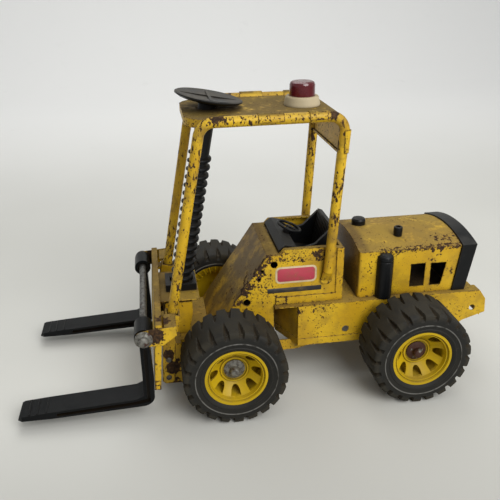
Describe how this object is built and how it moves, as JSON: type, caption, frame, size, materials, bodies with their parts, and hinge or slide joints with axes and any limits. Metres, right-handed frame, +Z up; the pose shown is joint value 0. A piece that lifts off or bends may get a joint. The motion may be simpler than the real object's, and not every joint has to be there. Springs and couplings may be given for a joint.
{
  "type": "toy forklift",
  "caption": "Pressed-steel toy forklift with a roll frame, a screw-driven fork carriage, two hanging fork tines, an engine hood, a seat and chunky plastic tyres.",
  "frame": {"origin": "on the floor under the middle of the toy's bounding box", "axes": "+Z up, the forks point along -Y and the hitch along +Y, +X is the toy's left"},
  "size_m": [0.234, 0.504, 0.317],
  "materials": {
    "yellow_steel": "worn gloss enamel with rust chips",
    "zinc_steel": "dull zinc",
    "black_plastic": "faded satin",
    "yellow_plastic": "satin",
    "cream_plastic": "aged satin",
    "red_lens": "translucent gloss",
    "black_tyre": "satin"
  },
  "bodies": {
    "chassis": {"chassis_frame": "yellow_steel", "rear_crossmember": "yellow_steel", "mast_base": "yellow_steel", "cab_tub": "yellow_steel", "roll_frame_left": "yellow_steel", "roll_frame_right": "yellow_steel", "roof_plate": "yellow_steel", "tube_rivets": "zinc_steel", "cab_moulding": "black_plastic", "hood": "yellow_steel", "radiator_grille": "black_plastic", "air_cleaner": "black_plastic", "filler_cap": "black_plastic", "exhaust_stub": "black_plastic", "beacon_base": "cream_plastic", "beacon_lens": "red_lens", "front_axle": "zinc_steel", "rear_axle": "zinc_steel", "axle_caps": "zinc_steel", "screw_bearing_top": "black_plastic", "screw_bearing_foot": "black_plastic"},
    "steering": {"steering_wheel": "black_plastic"},
    "screw": {"lift_screw": "black_plastic", "lift_knob": "black_plastic"},
    "carriage": {"carriage_plate": "yellow_steel", "guide_sleeve_left": "yellow_steel", "guide_sleeve_right": "yellow_steel", "nut_bracket": "yellow_steel", "lift_nut": "black_plastic", "fork_rod": "zinc_steel", "fork_rod_caps": "zinc_steel"},
    "fork_left": {"fork_left": "black_plastic"},
    "fork_right": {"fork_right": "black_plastic"},
    "wheel_front_left": {"tyre_front_left": "black_tyre", "rim_front_left": "yellow_plastic"},
    "wheel_front_right": {"tyre_front_right": "black_tyre", "rim_front_right": "yellow_plastic"},
    "wheel_rear_left": {"tyre_rear_left": "black_tyre", "rim_rear_left": "yellow_plastic"},
    "wheel_rear_right": {"tyre_rear_right": "black_tyre", "rim_rear_right": "yellow_plastic"}
  },
  "joints": [
    {"name": "lift", "type": "slide", "parent": "chassis", "child": "carriage", "axis": [0, 0.1867, 0.9824], "range_m": [0, 0.14]},
    {"name": "screw_turn", "type": "hinge", "parent": "chassis", "child": "screw", "pos_m": [0, -0.101, -0.00215], "axis": [0, -0.1867, -0.9824], "range_deg": [0, 5728.27]},
    {"name": "steering_turn", "type": "hinge", "parent": "chassis", "child": "steering", "pos_m": [0, 0.03989, 0.16209], "axis": [0, 0.3746, 0.9272], "continuous": true},
    {"name": "wheel_front_left_spin", "type": "hinge", "parent": "chassis", "child": "wheel_front_left", "pos_m": [0.091, -0.036, 0.0525], "axis": [1, 0, 0], "continuous": true},
    {"name": "wheel_front_right_spin", "type": "hinge", "parent": "chassis", "child": "wheel_front_right", "pos_m": [-0.091, -0.036, 0.0525], "axis": [1, 0, 0], "continuous": true},
    {"name": "wheel_rear_left_spin", "type": "hinge", "parent": "chassis", "child": "wheel_rear_left", "pos_m": [0.091, 0.1555, 0.0525], "axis": [1, 0, 0], "continuous": true},
    {"name": "wheel_rear_right_spin", "type": "hinge", "parent": "chassis", "child": "wheel_rear_right", "pos_m": [-0.091, 0.1555, 0.0525], "axis": [1, 0, 0], "continuous": true},
    {"name": "fork_left_tilt", "type": "hinge", "parent": "carriage", "child": "fork_left", "pos_m": [0.08, -0.1226, 0.095], "axis": [-1, 0, 0], "range_deg": [0, 120]},
    {"name": "fork_right_tilt", "type": "hinge", "parent": "carriage", "child": "fork_right", "pos_m": [-0.08, -0.1226, 0.095], "axis": [-1, 0, 0], "range_deg": [0, 120]}
  ],
  "couplings": [
    {"joint": "screw_turn", "follows": "lift", "rad_per_m": 714}
  ]
}
